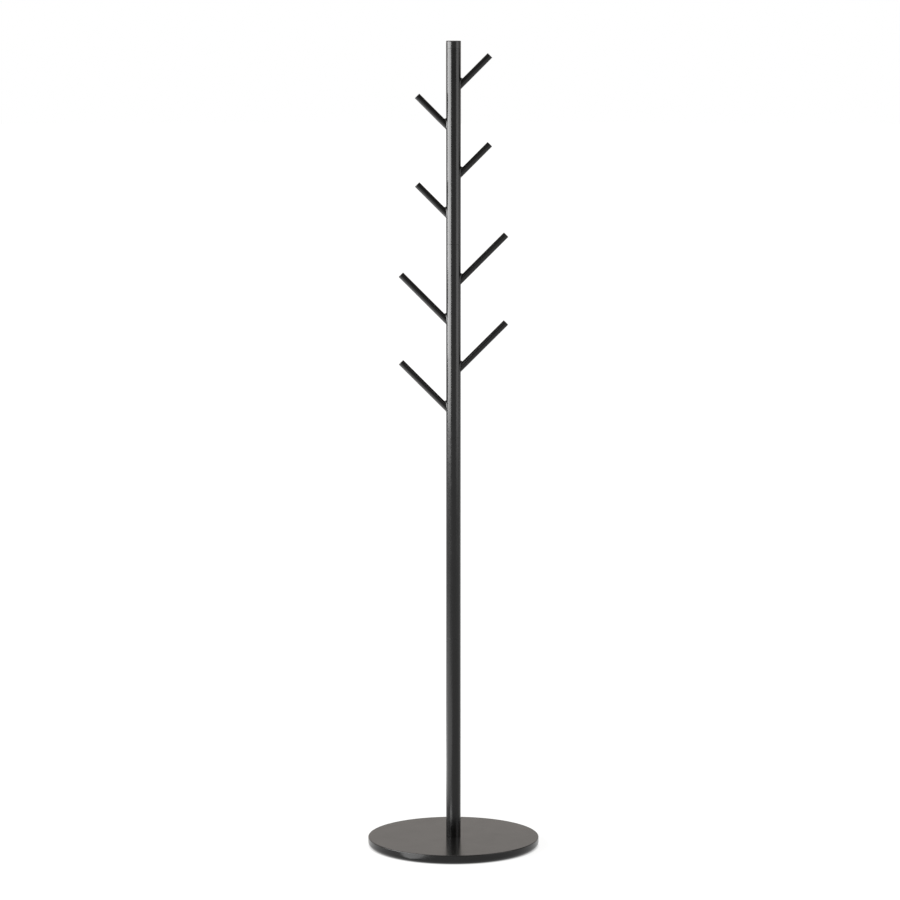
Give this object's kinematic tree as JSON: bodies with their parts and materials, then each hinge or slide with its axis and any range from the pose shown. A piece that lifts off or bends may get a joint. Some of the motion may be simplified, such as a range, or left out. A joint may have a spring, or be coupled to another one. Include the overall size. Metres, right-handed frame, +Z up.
{
  "type": "standing coat rack",
  "caption": "Free-standing coat rack: a tall round pole on a weighted disc base, with straight pegs sloping up at 45 degrees on both sides.",
  "frame": {"origin": "middle of the base on the floor", "axes": "+Z up along the pole, pegs in the XZ plane, the higher peg of each pair towards +X"},
  "size_m": [0.375, 0.375, 1.76],
  "materials": {
    "black_powder_coat": "black semi-gloss powder coat on steel",
    "bottom_plate_paint": "black paint on steel sheet",
    "zinc_plated_steel": "bright zinc plating on steel",
    "turned_steel": "turned mild steel, lightly oiled",
    "cast_ballast": "cast cement, as poured",
    "pad_rubber": "black rubber, matt",
    "cap_plastic": "black moulded plastic, semi-gloss to match the pole"
  },
  "bodies": {
    "root": {"base_ballast": "cast_ballast", "base_bolt": "zinc_plated_steel", "base_cover": "black_powder_coat", "bottom_plate": "bottom_plate_paint", "clamp_disc": "zinc_plated_steel", "flat_washer": "zinc_plated_steel", "floor_pads": "pad_rubber", "foot_plug": "turned_steel", "joint_1_lower_plug": "turned_steel", "joint_1_stud": "zinc_plated_steel", "joint_1_upper_plug": "turned_steel", "joint_2_lower_plug": "turned_steel", "joint_2_stud": "zinc_plated_steel", "joint_2_upper_plug": "turned_steel", "joint_3_lower_plug": "turned_steel", "joint_3_stud": "zinc_plated_steel", "joint_3_upper_plug": "turned_steel", "peg_left_1": "black_powder_coat", "peg_left_2": "black_powder_coat", "peg_left_3": "black_powder_coat", "peg_left_4": "black_powder_coat", "peg_right_1": "black_powder_coat", "peg_right_2": "black_powder_coat", "peg_right_3": "black_powder_coat", "peg_right_4": "black_powder_coat", "pole_section_1": "black_powder_coat", "pole_section_2": "black_powder_coat", "pole_section_3": "black_powder_coat", "pole_section_4": "black_powder_coat", "spring_washer": "zinc_plated_steel", "top_cap": "cap_plastic", "weld_bead_left_1": "black_powder_coat", "weld_bead_left_2": "black_powder_coat", "weld_bead_left_3": "black_powder_coat", "weld_bead_left_4": "black_powder_coat", "weld_bead_right_1": "black_powder_coat", "weld_bead_right_2": "black_powder_coat", "weld_bead_right_3": "black_powder_coat", "weld_bead_right_4": "black_powder_coat"}
  },
  "joints": []
}
